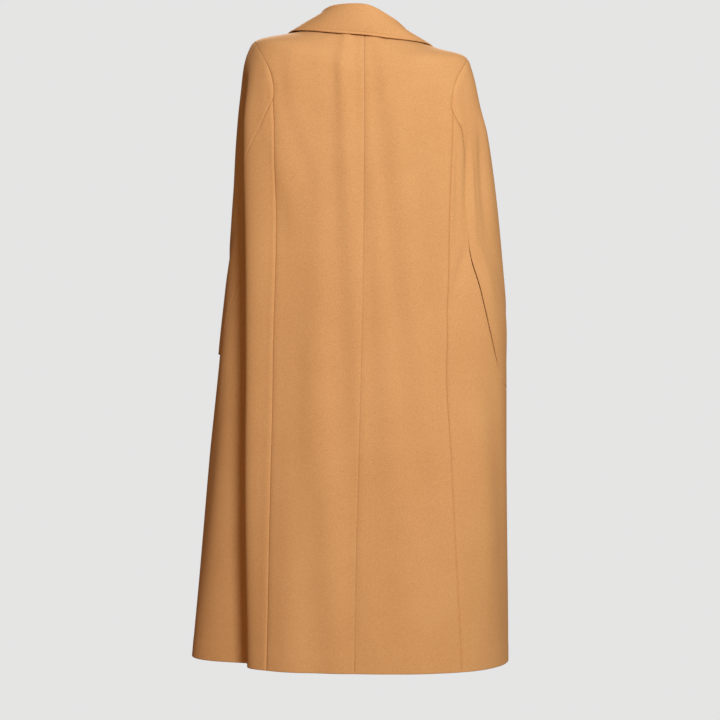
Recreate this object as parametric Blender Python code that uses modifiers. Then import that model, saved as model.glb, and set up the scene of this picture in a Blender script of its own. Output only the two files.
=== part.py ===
"""Long wool coat with cape sleeves, hollow, in the pose that it is worn in.

Metres, +Z up. The front faces -Y and the wearer's left is +X. The origin is between the
shoulders, where the coat is carried. Each cut piece of cloth is a thin wall of its own.

The coat's outer face is one surface. A place on it has an angle, in degrees from the centre
back towards the wearer's left, and a share of the way from the neck (0) to the hem (1).
"""
import math
from collections import namedtuple

import bpy
import numpy as np
from mathutils import Vector

# ---- driving dimensions, metres --------------------------------------------------------

HEM_TO_ORIGIN = 1.165       # height of the carrying point above the hem
CLOTH = 0.0025              # thickness of the doubled, pressed wool
SEAM_GAP = 0.0003           # between neighbouring pieces
LAP = 0.035                 # each front runs this far past the centre
LAP_RAISE = 0.0042          # the upper front lies this far outside the lower one
BUTTON_WIDTH = 0.028
BUTTON_THICKNESS = 0.0045
BUTTON_SEAT = 0.0005        # from the cloth's face to the button's back

# The coat's sections, from the neck down. Heights are above the hem. Left, right, back and
# front are half widths from the middle, square is the roundness (2 is an ellipse), tilt is
# the rise towards the wearer's left, twist is in degrees. The seams are measured across
# from the centre back.
Section = namedtuple(
    "Section",
    "name share back_height side_height front_height left right back front square"
    " tilt twist left_seam right_seam",
)
SECTIONS = (
    Section("neck", 0.000, 1.211, 1.206, 1.170, 0.083, 0.083, 0.068, 0.070, 2.00, 0.110, 0.0, 0.08, 0.08),
    Section("yoke", 0.048, 1.172, 1.191, 1.130, 0.147, 0.143, 0.094, 0.096, 2.05, 0.098, 0.0, 0.14, 0.14),
    Section("shoulder", 0.095, 1.128, 1.175, 1.092, 0.209, 0.198, 0.114, 0.116, 2.20, 0.078, 0.0, 0.18, 0.18),
    Section("cap", 0.116, 1.103, 1.150, 1.073, 0.224, 0.210, 0.119, 0.123, 2.30, 0.078, 0.0, 0.176, 0.176),
    Section("upper arm", 0.175, 1.035, 1.075, 1.020, 0.241, 0.226, 0.129, 0.136, 2.50, 0.072, 0.0, 0.173, 0.170),
    Section("underarm", 0.213, 0.990, 1.025, 0.980, 0.249, 0.238, 0.132, 0.142, 2.60, 0.060, 0.0, 0.171, 0.168),
    Section("elbow", 0.390, 0.775, 0.790, 0.770, 0.266, 0.265, 0.142, 0.158, 2.60, 0.025, 0.5, 0.171, 0.162),
    Section("wrist", 0.545, 0.585, 0.590, 0.585, 0.284, 0.279, 0.155, 0.168, 2.60, 0.000, 1.9, 0.174, 0.162),
    Section("thigh", 0.690, 0.397, 0.400, 0.397, 0.301, 0.281, 0.172, 0.182, 2.60, 0.000, 3.4, 0.174, 0.174),
    Section("knee", 0.850, 0.195, 0.195, 0.195, 0.318, 0.282, 0.193, 0.197, 2.60, 0.000, 4.7, 0.173, 0.188),
    Section("hem", 1.000, 0.000, 0.000, 0.000, 0.335, 0.285, 0.215, 0.212, 2.60, 0.000, 5.0, 0.175, 0.200),
)

# Folds hang from the shoulders and fade in and out between start and end. A negative depth
# is a valley. Angles and half widths are in degrees, depths in metres.
Fold = namedtuple("Fold", "name top_angle bottom_angle start end half_width top_depth bottom_depth")
FOLDS = (
    Fold("left crest", 73, 48, 0.12, 2.0, 7, 0.004, 0.016),
    Fold("left valley", 83, 62, 0.12, 2.0, 8, -0.010, -0.080),
    Fold("left front valley", 122, 112, 0.25, 2.0, 9, -0.004, -0.022),
    Fold("left front crest", 146, 146, 0.30, 2.0, 11, 0.002, 0.014),
    Fold("left back drag", 41, 41, 0.06, 0.75, 7, -0.005, -0.003),
    Fold("right back drag", -40, -43, 0.08, 0.75, 7, -0.004, -0.003),
    Fold("right elbow", -61, -63, 0.20, 0.47, 5, -0.004, -0.006),
    Fold("right arm", -75, -72, 0.18, 0.44, 6, -0.004, -0.005),
    Fold("right side valley", -100, -104, 0.45, 2.0, 10, -0.003, -0.020),
    Fold("right front crest", -140, -146, 0.30, 2.0, 12, 0.002, 0.014),
    Fold("right front valley", -122, -124, 0.35, 2.0, 8, -0.002, -0.016),
)

# The armholes and the seams under the sleeves, as shares of the way down.
CAP_TOP = 0.098
UNDERARM = 0.190
FRONT_SCOOP = 0.200
FRONT_SEAM_TOP = 128.0      # angle of the front side seam at the armhole
FRONT_SEAM_HEM = 134.0      # and at the hem
BREAK = 0.300               # where the fronts close, below the neck
NECK_CURVE = 3.0            # how hollow the fronts' upper edges are; 1 is straight

# Each sleeve's lower edge: the seam from the underarm to the wrist, then the open mouth.
Turn = namedtuple("Turn", "name run angle share")
LEFT_UNDER_EDGE = (
    Turn("below the armhole", 0.07, 62, 0.208),
    Turn("over the crest", 0.20, 71, 0.285),
    Turn("forearm", 0.38, 82, 0.430),
    Turn("back of the wrist", 0.54, 93, 0.545),
    Turn("middle of the mouth", 0.76, 111, 0.552),
    Turn("front of the mouth", 1.00, 129, 0.520),
)
RIGHT_UNDER_EDGE = (
    Turn("below the armhole", 0.05, 60.5, 0.215),
    Turn("elbow", 0.17, 61, 0.385),
    Turn("forearm", 0.36, 73, 0.490),
    Turn("back of the wrist", 0.54, 91, 0.575),
    Turn("middle of the mouth", 0.76, 110, 0.565),
    Turn("front of the mouth", 1.00, 129, 0.520),
)
MOUTH_BACK = 0.54           # run along the lower edge where the mouth begins
MOUTH_OUT = 0.012           # the sleeve stands this far out at its mouth
MOUTH_IN = 0.024            # and the side panel this far in

# The collar, from the centre back round to its end on the front. Up and in place the roll
# over the neck seam, edge is the share on the coat that the leaf's edge lies over.
Band = namedtuple("Band", "name angle up inward edge edge_angle lift")
COLLAR = (
    Band("right end", -131, 0.005, 0.000, 0.080, -121, 0.0045),
    Band("right front", -112, 0.006, 0.003, 0.052, -104, 0.0045),
    Band("right shoulder", -90, 0.006, 0.003, 0.034, -88, 0.0042),
    Band("right back", -45, 0.025, 0.003, 0.026, -44, 0.0050),
    Band("centre back", 0, 0.040, 0.000, 0.021, 0, 0.0060),
    Band("left back", 45, 0.037, 0.004, 0.028, 45, 0.0055),
    Band("left shoulder", 90, 0.023, 0.008, 0.042, 90, 0.0050),
    Band("left front", 112, 0.013, 0.004, 0.060, 105, 0.0050),
    Band("left end", 131, 0.005, 0.000, 0.085, 122, 0.0050),
)
COLLAR_ROLL = 0.010         # the leaf falls this far outside the stand
COLLAR_FULLNESS = 0.003     # and swells by this much half way down

# Each lapel, from the end of the collar down to where the fronts close. Across is how far
# its free edge lies round from the fold, in degrees, and drop how much further down.
Lapel = namedtuple("Lapel", "name down across drop")
LAPEL = (
    Lapel("gorge", 0.00, 7.5, 0.100),
    Lapel("tip", 0.12, 16, 0.095),
    Lapel("chest", 0.55, 22, 0.034),
    Lapel("waist", 0.80, 13, 0.014),
    Lapel("break", 1.00, 2, 0.002),
)
GORGE = 5                   # the lapels begin at this column of the fronts
LAPEL_LAST = {1: 10, -1: 12}    # and end at these; the left one stops short of the lap
LAPEL_LIFT = 0.0024         # over the front, easing to nearly a seam's gap at the fold

BUTTON_SHARES = (0.325, 0.415, 0.505)

# How finely each piece is drawn.
YOKE_ROWS = 4
SLEEVE_ROWS = 16
SIDE_ROWS = 18
BACK_COLUMNS = 8
FRONT_COLUMNS = 12
SIDE_COLUMNS = 18
LAPEL_ROWS = 5
COLLAR_ROLL_STEPS = 4
COLLAR_ROWS = 4

CAMEL = (0.545, 0.300, 0.125, 1.0)
HORN = (0.120, 0.060, 0.030, 1.0)


# ---- curves and the coat's surface -----------------------------------------------------

def smooth_curve(places, values):
    """A curve through the values that never overshoots between two of them."""
    places = np.asarray(places, dtype=float)
    values = np.asarray(values, dtype=float)
    steps = np.diff(places)
    rises = np.diff(values) / steps
    slopes = np.zeros(len(places))
    slopes[0] = rises[0]
    slopes[-1] = rises[-1]
    for i in range(1, len(places) - 1):
        if rises[i - 1] * rises[i] > 0:
            near = 2 * steps[i] + steps[i - 1]
            far = steps[i] + 2 * steps[i - 1]
            slopes[i] = (near + far) / (near / rises[i - 1] + far / rises[i])

    def at(place):
        place = np.clip(place, places[0], places[-1])
        i = np.clip(np.searchsorted(places, place, side="right") - 1, 0, len(steps) - 1)
        s = (place - places[i]) / steps[i]
        start = (1 + 2 * s) * (1 - s) ** 2 * values[i] + s * (1 - s) ** 2 * steps[i] * slopes[i]
        end = s ** 2 * (3 - 2 * s) * values[i + 1] + s ** 2 * (s - 1) * steps[i] * slopes[i + 1]
        return start + end

    return at


def table_curves(rows, key):
    """One smooth curve for each column of a table of sections, by its key column."""
    places = [getattr(row, key) for row in rows]
    columns = [column for column in rows[0]._fields if column not in ("name", key)]
    return {column: smooth_curve(places, [getattr(row, column) for row in rows]) for column in columns}


SECTION = table_curves(SECTIONS, "share")


def ease(value, start, end):
    """0 before start, 1 after end, smooth between."""
    s = np.clip((value - start) / (end - start), 0, 1)
    return s * s * (3 - 2 * s)


def fold_depth(angle, share):
    """How far the folds move the cloth outwards."""
    total = np.zeros(np.broadcast(angle, share).shape)
    for fold in FOLDS:
        down = np.clip(share, 0, 1)
        centre = fold.top_angle + (fold.bottom_angle - fold.top_angle) * down
        depth = fold.top_depth + (fold.bottom_depth - fold.top_depth) * down
        away = (angle - centre + 180) % 360 - 180
        fade = ease(share, fold.start, fold.start + 0.12) * (1 - ease(share, fold.end - 0.18, fold.end))
        total = total + depth * fade * np.exp(-0.5 * (away / fold.half_width) ** 2)
    return total


def coat_point(angle, share, out=0.0):
    """A point of the coat's outer face, moved outwards on the level by out."""
    angle = np.asarray(angle, dtype=float)
    share = np.asarray(share, dtype=float)
    row = {column: curve(share) for column, curve in SECTION.items()}
    turn = np.radians(angle)
    across = np.sin(turn)
    deep = np.cos(turn)
    width = np.where(across >= 0, row["left"], row["right"])
    depth = np.where(deep >= 0, row["back"], row["front"])
    power = row["square"]
    radius = ((np.abs(across) / width) ** power + (np.abs(deep) / depth) ** power) ** (-1 / power)
    radius = radius + fold_depth(angle, share) + out
    end_height = np.where(deep >= 0, row["back_height"], row["front_height"])
    height = end_height + (row["side_height"] - end_height) * across ** 2
    x = radius * across
    y = radius * deep
    twist = np.radians(row["twist"])
    return np.stack(
        (
            x * np.cos(twist) + y * np.sin(twist),
            y * np.cos(twist) - x * np.sin(twist),
            height + row["tilt"] * x - HEM_TO_ORIGIN,
        ),
        axis=-1,
    )


def outward(angle, share):
    """The direction that the coat's face looks in."""
    turn = coat_point(angle + 0.5, share) - coat_point(angle - 0.5, share)
    down = coat_point(angle, share + 0.002) - coat_point(angle, share - 0.002)
    normal = np.cross(turn, down)
    return normal / np.linalg.norm(normal, axis=-1, keepdims=True)


# ---- the seams, as angles and shares -----------------------------------------------------

def seam_angle(side, share):
    """Angle of the side-back seam, from its distance to the centre back."""
    row = {column: curve(share) for column, curve in SECTION.items()}
    width = row["left"] if side > 0 else row["right"]
    across = row["left_seam"] if side > 0 else row["right_seam"]
    power = row["square"]
    deep = row["back"] * (1 - (across / width) ** power) ** (1 / power)
    return np.degrees(np.arctan2(across, deep))


def back_edge(side, run):
    """The armhole's back half: angles and shares as run goes from 0 (cap) to 1 (underarm)."""
    share = CAP_TOP + (UNDERARM - CAP_TOP) * (1 - np.cos(run * math.pi / 2))
    low = seam_angle(side, np.full_like(run, UNDERARM))
    return low + (90 - low) * (1 - np.sin(run * math.pi / 2)), share


def front_seam_angle(share):
    return FRONT_SEAM_TOP + (FRONT_SEAM_HEM - FRONT_SEAM_TOP) * ease(share, FRONT_SCOOP, 1.0)


def front_edge(run, lowest):
    """The armhole's front half and the front side seam down to the mouth."""
    scoop = np.clip(run * 2, 0, 1)
    below = np.clip(run * 2 - 1, 0, 1)
    share = CAP_TOP + (FRONT_SCOOP - CAP_TOP) * (1 - np.cos(scoop * math.pi / 2))
    share = share + (lowest - FRONT_SCOOP) * below
    angle = 90 + (FRONT_SEAM_TOP - 90) * np.sin(scoop * math.pi / 2)
    return np.where(below > 0, front_seam_angle(share), angle), share


def under_edge(side, run):
    """The sleeve's lower edge, from the underarm to the front of its mouth."""
    turns = LEFT_UNDER_EDGE if side > 0 else RIGHT_UNDER_EDGE
    start = float(seam_angle(side, np.array(UNDERARM)))
    end = float(front_seam_angle(np.array(turns[-1].share)))
    runs = [0.0] + [turn.run for turn in turns]
    angles = [start] + [turn.angle for turn in turns[:-1]] + [end]
    shares = [UNDERARM] + [turn.share for turn in turns]
    return smooth_curve(runs, angles)(run), smooth_curve(runs, shares)(run)


def lap_angle(share):
    """Angle of a front's free edge, past the centre front."""
    return 180 + np.degrees(np.arctan2(LAP, SECTION["front"](share)))


def neck_line(run):
    """The front's upper edge, from the shoulder seam down to where the fronts close."""
    end = float(lap_angle(BREAK))
    return 90 + (end - 90) * run, BREAK * run ** NECK_CURVE


def neck_share(angle):
    """Share of the coat's upper edge at an angle: 0 round the back, then down the fronts."""
    end = float(lap_angle(BREAK))
    return BREAK * np.clip((angle - 90) / (end - 90), 0, 1) ** NECK_CURVE


# ---- walls of cloth --------------------------------------------------------------------

def patch(top, bottom, first, last):
    """A grid of angles and shares inside four edges, each an array of (angle, share)."""
    u = np.linspace(0, 1, len(top))[:, None, None]
    v = np.linspace(0, 1, len(first))[None, :, None]
    across = (1 - v) * top[:, None, :] + v * bottom[:, None, :]
    along = (1 - u) * first[None, :, :] + u * last[None, :, :]
    corners = (1 - u) * ((1 - v) * top[0] + v * bottom[0]) + u * ((1 - v) * top[-1] + v * bottom[-1])
    return across + along - corners


def pair(angles, shares):
    return np.stack((angles, shares), axis=-1)


def straight(start, end, count):
    return start + (end - start) * np.linspace(0, 1, count)[:, None]


def edge_pull(points, faces, amount):
    """How far each point on a grid's edges moves inwards, along the cloth, to leave a seam."""
    moves = np.zeros_like(points)
    for turned in (False, True):
        move = moves.swapaxes(0, 1) if turned else moves
        source = points.swapaxes(0, 1) if turned else points
        facing = faces.swapaxes(0, 1) if turned else faces
        for edge, inner in ((0, 1), (-1, -2)):
            line = source[edge]
            inside = np.cross(facing[edge], np.gradient(line, axis=0))
            inside = inside / np.linalg.norm(inside, axis=-1, keepdims=True)
            sense = np.sign(np.sum(inside * (source[inner] - line)))
            move[edge] += amount * sense * inside
    return moves


def make_wall(name, outer, inner, flipped, material):
    """A closed wall between two grids of points, its outer and its inner face.

    Neighbouring pieces share the directions that their walls are thickened in, and their
    rims are split the same way, from the upper outer point down. So the gap along a seam
    stays even through the wall, where a modifier would splay it.
    """
    columns, rows = outer.shape[:2]
    count = columns * rows
    faces = []
    for c in range(columns - 1):
        for r in range(rows - 1):
            face = (c * rows + r, (c + 1) * rows + r, (c + 1) * rows + r + 1, c * rows + r + 1)
            faces.append(face)
            faces.append(tuple(count + corner for corner in reversed(face)))
    rim = [c * rows for c in range(columns)]
    rim += [(columns - 1) * rows + r for r in range(1, rows)]
    rim += [c * rows + rows - 1 for c in range(columns - 2, -1, -1)]
    rim += list(range(rows - 2, 0, -1))
    points = np.concatenate((outer.reshape(-1, 3), inner.reshape(-1, 3)))
    height = points @ (0.3, 0.17, 1.0)
    for near, far in zip(rim, rim[1:] + rim[:1]):
        if height[near] > height[far]:
            faces += [(far, near, far + count), (near, near + count, far + count)]
        else:
            faces += [(far, near, near + count), (far, near + count, far + count)]
    if flipped:
        faces = [face[::-1] for face in faces]
    mesh = bpy.data.meshes.new(name)
    mesh.from_pydata(points.tolist(), [], faces)
    mesh.materials.append(material)
    mesh.shade_smooth()
    mesh.set_sharp_from_angle(angle=math.radians(50))
    coat.objects.link(bpy.data.objects.new(name, mesh))


def make_panel(name, side, grid, out, material):
    """A cut piece on the coat's surface, from a grid of angles and shares."""
    outer = coat_point(side * grid[..., 0], grid[..., 1], out)
    face = outward(side * grid[..., 0], grid[..., 1])
    outer = outer + edge_pull(outer, face, SEAM_GAP / 2)
    make_wall(name, outer, outer - CLOTH * face, side < 0, material)


# ---- the cut pieces --------------------------------------------------------------------

def mouth_front(side):
    """Share at which the sleeve's mouth meets the front side seam."""
    turns = LEFT_UNDER_EDGE if side > 0 else RIGHT_UNDER_EDGE
    return turns[-1].share


def back_side_line(side):
    """The back's outer edge: shoulder seam, armhole and side-back seam."""
    yoke = np.linspace(0, CAP_TOP, YOKE_ROWS + 1)[:-1]
    armhole = back_edge(side, np.linspace(0, 1, SLEEVE_ROWS + 1)[:-1])
    below = np.linspace(UNDERARM, 1, SIDE_ROWS + 1)
    angles = np.concatenate((np.full_like(yoke, 90.0), armhole[0], seam_angle(side, below)))
    return pair(angles, np.concatenate((yoke, armhole[1], below)))


def front_side_line(side):
    """The front's outer edge: shoulder seam, armhole and front side seam."""
    yoke = np.linspace(0, CAP_TOP, YOKE_ROWS + 1)[:-1]
    armhole = front_edge(np.linspace(0, 1, SLEEVE_ROWS + 1)[:-1], mouth_front(side))
    below = np.linspace(mouth_front(side), 1, SIDE_ROWS + 1)
    angles = np.concatenate((np.full_like(yoke, 90.0), armhole[0], front_seam_angle(below)))
    return pair(angles, np.concatenate((yoke, armhole[1], below)))


def make_back(name, side, material):
    outer = back_side_line(side)
    centre = pair(np.zeros(len(outer)), outer[:, 1])
    top = straight(centre[0], outer[0], BACK_COLUMNS + 1)
    bottom = straight(centre[-1], outer[-1], BACK_COLUMNS + 1)
    make_panel(name, side, patch(top, bottom, centre, outer), 0.0, material)


def lap_raise(side, angle):
    """The wearer's right front lies over the left one."""
    if side > 0:
        return 0.0
    return LAP_RAISE * ease(angle, 150, 168)


def make_front(name, side, material):
    outer = front_side_line(side)
    edge_shares = np.linspace(BREAK, 1, len(outer))
    free = pair(lap_angle(edge_shares), edge_shares)
    top = pair(*neck_line(np.linspace(0, 1, FRONT_COLUMNS + 1)))
    bottom = straight(outer[-1], free[-1], FRONT_COLUMNS + 1)
    grid = patch(top, bottom, outer, free)
    make_panel(name, side, grid, lap_raise(side, grid[..., 0]), material)


def mouth_share(run):
    """1 in the middle of the sleeve's mouth, 0 at its corners and along the seam."""
    inside = np.clip((run - MOUTH_BACK) / (1 - MOUTH_BACK), 0, 1)
    return np.sin(inside * math.pi) ** 1.2


def make_sleeve(name, side, material):
    """From the cap of the shoulder to the open mouth; the cap's first row is its short top."""
    runs = np.linspace(0, 1, SLEEVE_ROWS + 1)
    across = np.linspace(0, 1, SIDE_COLUMNS + 1)
    first = pair(*back_edge(side, runs))[1:]
    last = pair(*front_edge(runs, mouth_front(side)))[1:]
    top = straight(first[0], last[0], SIDE_COLUMNS + 1)
    bottom = pair(*under_edge(side, across))
    down = np.linspace(0, 1, SLEEVE_ROWS)[None, :]
    out = MOUTH_OUT * mouth_share(across)[:, None] * ease(down, 0.35, 1.0)
    make_panel(name, side, patch(top, bottom, first, last), out, material)


def make_side(name, side, material):
    """The skirt of the coat's side, tucked in behind the sleeve's mouth."""
    back_shares = np.linspace(UNDERARM, 1, SIDE_ROWS + 1)
    front_shares = np.linspace(mouth_front(side), 1, SIDE_ROWS + 1)
    across = np.linspace(0, 1, SIDE_COLUMNS + 1)
    first = pair(seam_angle(side, back_shares), back_shares)
    last = pair(front_seam_angle(front_shares), front_shares)
    top = pair(*under_edge(side, across))
    bottom = straight(first[-1], last[-1], SIDE_COLUMNS + 1)
    down = np.linspace(0, 1, SIDE_ROWS + 1)[None, :]
    tuck = MOUTH_IN * mouth_share(across)[:, None] * (1 - ease(down, 0.0, 0.35))
    make_panel(name, side, patch(top, bottom, first, last), -tuck, material)


def make_lapel(name, side, material):
    """The front's turned-back corner, made from the front's own surface moved out."""
    last = LAPEL_LAST[side]
    run = np.linspace(GORGE, last, last - GORGE + 1) / FRONT_COLUMNS
    shape = table_curves(LAPEL, "down")
    down = np.linspace(0, 1, len(run))
    fold = pair(*neck_line(run))[:, None, :]
    across = np.linspace(0, 1, LAPEL_ROWS + 1)
    reach = pair(-shape["across"](down), shape["drop"](down))[:, None, :]
    grid = fold + across[None, :, None] * reach
    lift = 1.5 * SEAM_GAP + (LAPEL_LIFT - 1.5 * SEAM_GAP) * ease(across, -0.08, 0.4)
    front = coat_point(side * grid[..., 0], grid[..., 1], lap_raise(side, grid[..., 0]))
    face = outward(side * grid[..., 0], grid[..., 1])
    inner = front + lift[None, :, None] * face
    make_wall(name, inner + CLOTH * face, inner, side < 0, material)


def collar_section(angle, shape):
    """Points of the collar's face at one angle: neck seam, stand, roll, then leaf to its edge."""
    share = float(neck_share(abs(angle)))
    seam = coat_point(angle, share)
    face = outward(angle, share)
    level = face * (1, 1, 0)
    level = level / np.linalg.norm(level)
    lean = ease(abs(angle), 60, 125)
    up = (1 - lean) * np.array((0, 0, 1)) + lean * face
    up = up / np.linalg.norm(up)
    base = seam + 2 * SEAM_GAP * up - CLOTH * (1 - lean) * level
    fold = base + shape["up"](angle) * up - shape["inward"](angle) * level
    edge_angle = shape["edge_angle"](angle)
    edge_share = shape["edge"](angle)
    edge = coat_point(edge_angle, edge_share) + shape["lift"](angle) * outward(edge_angle, edge_share)
    over = edge - fold
    over = over - up * np.dot(over, up)
    over = over / np.linalg.norm(over)
    points = [base, (base + fold) / 2]
    for step in range(COLLAR_ROLL_STEPS + 1):
        roll = math.pi * step / COLLAR_ROLL_STEPS
        points.append(fold + COLLAR_ROLL / 2 * ((1 - math.cos(roll)) * over + math.sin(roll) * up))
    start = points[-1]
    for step in range(1, COLLAR_ROWS + 1):
        down = step / COLLAR_ROWS
        points.append(start + (edge - start) * down + COLLAR_FULLNESS * math.sin(math.pi * down) * face)
    return points


def make_collar(name, material):
    """Drawn at the same angles as the neck edges that it is sewn to."""
    shape = table_curves(COLLAR, "angle")
    back = np.linspace(0, 90, BACK_COLUMNS + 1)
    front = neck_line(np.linspace(0, GORGE, GORGE + 1) / FRONT_COLUMNS)[0]
    half = np.concatenate((back, front[1:-1], [COLLAR[-1].angle]))
    angles = np.concatenate((-half[:0:-1], half))
    outer = np.array([collar_section(angle, shape) for angle in angles])
    around, down = np.gradient(outer, axis=(0, 1))
    face = np.cross(around, down)
    face = face / np.linalg.norm(face, axis=-1, keepdims=True)
    make_wall(name, outer, outer - CLOTH * face, False, material)


def make_button(name, share, material):
    """A dished button, turned about its own axis, seated on the upper front."""
    half = BUTTON_WIDTH / 2
    thick = BUTTON_THICKNESS
    profile = (
        (0.0, thick * 0.62),
        (half * 0.66, thick * 0.68),
        (half * 0.76, thick * 0.98),
        (half * 0.90, thick),
        (half, thick * 0.62),
        (half, thick * 0.25),
        (half * 0.93, 0.0),
        (0.0, 0.0),
    )
    mesh = bpy.data.meshes.new(name)
    edges = [(i, i + 1) for i in range(len(profile) - 1)]
    mesh.from_pydata([(x, 0, z) for x, z in profile], edges, [])
    mesh.materials.append(material)
    button = bpy.data.objects.new(name, mesh)
    coat.objects.link(button)
    turned = button.modifiers.new("turned", "SCREW")
    turned.steps = 16
    turned.render_steps = 16
    turned.use_merge_vertices = True
    turned.merge_threshold = 0.0001
    face = outward(180.0, share)
    seat = coat_point(180.0, share, LAP_RAISE) + BUTTON_SEAT * face
    button.location = seat
    button.rotation_mode = "QUATERNION"
    button.rotation_quaternion = Vector(face).to_track_quat("Z", "Y")


# ---- build -------------------------------------------------------------------------------

def make_material(name, colour, roughness):
    material = bpy.data.materials.new(name)
    material.use_nodes = True
    shader = material.node_tree.nodes["Principled BSDF"]
    shader.inputs["Base Color"].default_value = colour
    shader.inputs["Roughness"].default_value = roughness
    shader.inputs["Metallic"].default_value = 0.0
    return material


for old in list(bpy.data.objects):
    bpy.data.objects.remove(old, do_unlink=True)

coat = bpy.data.collections.new("maxi_coat")
bpy.context.scene.collection.children.link(coat)

wool = make_material("camel_wool", CAMEL, 0.85)
horn = make_material("dark_horn", HORN, 0.35)

for side, word in ((1, "left"), (-1, "right")):
    make_back("back_" + word, side, wool)
    make_front("front_" + word, side, wool)
    make_sleeve("sleeve_" + word, side, wool)
    make_side("side_" + word, side, wool)
    make_lapel("lapel_" + word, side, wool)
make_collar("collar", wool)
for number, share in enumerate(BUTTON_SHARES, 1):
    make_button(f"button_{number}", share, horn)
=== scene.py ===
import math
from collections import namedtuple

import bpy
import numpy as np
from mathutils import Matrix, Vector


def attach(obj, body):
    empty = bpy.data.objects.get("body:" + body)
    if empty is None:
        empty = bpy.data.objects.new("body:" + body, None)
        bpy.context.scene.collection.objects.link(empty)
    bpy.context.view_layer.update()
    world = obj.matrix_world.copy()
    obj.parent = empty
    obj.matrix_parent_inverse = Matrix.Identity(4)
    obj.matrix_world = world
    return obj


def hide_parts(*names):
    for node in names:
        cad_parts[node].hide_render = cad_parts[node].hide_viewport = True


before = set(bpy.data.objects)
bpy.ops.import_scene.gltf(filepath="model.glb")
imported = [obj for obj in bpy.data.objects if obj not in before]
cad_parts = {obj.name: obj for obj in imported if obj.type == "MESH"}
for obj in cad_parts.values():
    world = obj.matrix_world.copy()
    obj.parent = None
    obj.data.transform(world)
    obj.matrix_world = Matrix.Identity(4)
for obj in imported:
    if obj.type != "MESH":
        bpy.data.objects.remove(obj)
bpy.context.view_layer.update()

# Long wool coat with cape sleeves. Metres, +Z up, the front faces -Y, the wearer's left is +X.
# A place on the coat has an angle, in degrees from the centre back towards the wearer's left,
# and a share of the way from the neck (0) to the hem (1).

print("stage: the coat's surface")

coat = {
    "hemToOrigin": 1.165,       # height of the carrying point above the hem
    "cloth": 0.0025,            # thickness of the wool
    "seamGap": 0.00012,         # between neighbouring pieces
    "lap": 0.035,               # each front runs this far past the centre
    "lapRaise": 0.0042,         # the upper front lies this far outside the lower one
    "lapFrom": (150, 168),
    "capTop": 0.098,            # shares and angles of the armholes and front seams
    "capStart": 0.02,           # the sleeve's cap starts this far round the armhole
    "underarm": 0.178,
    "frontScoop": 0.200,
    "frontSeamTop": 128.0,
    "frontSeamHem": 134.0,
    "breakShare": 0.300,        # where the fronts close
    "neckCurve": 3.0,
    "mouthBack": 0.54,          # share along the sleeve's lower edge where its mouth begins
    "mouthOut": 0.012,          # the mouth opens by this to the outside
    "mouthIn": 0.024,           # and by this towards the skirt
    "step": 0.0052,             # size of the cloth's mesh
}

# Heights are above the hem. Left, right, back and front are half widths from the middle,
# square is the roundness, tilt is the rise to the wearer's left, twist is in degrees.
# leftSeam and rightSeam are how far from the middle the side-back seams lie.
Section = namedtuple(
    "Section",
    "name share backHeight sideHeight frontHeight left right back front square"
    " tilt twist leftSeam rightSeam",
)
sections = (
    Section("neck", 0, 1.211, 1.206, 1.17, 0.083, 0.083, 0.068, 0.07, 2, 0.11, 0, 0.08, 0.08),
    Section("yoke", 0.048, 1.172, 1.191, 1.13, 0.147, 0.143, 0.094, 0.096, 2.05, 0.098, 0, 0.14, 0.14),
    Section("shoulder", 0.095, 1.128, 1.175, 1.092, 0.209, 0.198, 0.114, 0.116, 2.2, 0.078, 0, 0.18, 0.18),
    Section("cap", 0.116, 1.103, 1.15, 1.073, 0.224, 0.21, 0.119, 0.123, 2.3, 0.078, 0, 0.176, 0.176),
    Section("upper arm", 0.175, 1.035, 1.075, 1.02, 0.241, 0.226, 0.129, 0.136, 2.5, 0.072, 0, 0.173, 0.17),
    Section("underarm", 0.213, 0.99, 1.025, 0.98, 0.249, 0.238, 0.132, 0.142, 2.6, 0.06, 0, 0.171, 0.168),
    Section("elbow", 0.39, 0.775, 0.79, 0.77, 0.266, 0.265, 0.142, 0.158, 2.6, 0.025, 0.5, 0.171, 0.162),
    Section("wrist", 0.545, 0.585, 0.59, 0.585, 0.284, 0.279, 0.155, 0.168, 2.6, 0, 1.9, 0.174, 0.162),
    Section("thigh", 0.69, 0.397, 0.4, 0.397, 0.301, 0.281, 0.172, 0.182, 2.6, 0, 3.4, 0.174, 0.174),
    Section("knee", 0.85, 0.195, 0.195, 0.195, 0.318, 0.282, 0.193, 0.197, 2.6, 0, 4.7, 0.173, 0.188),
    Section("hem", 1, 0, 0, 0, 0.335, 0.285, 0.215, 0.212, 2.6, 0, 5, 0.175, 0.2),
)

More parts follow.
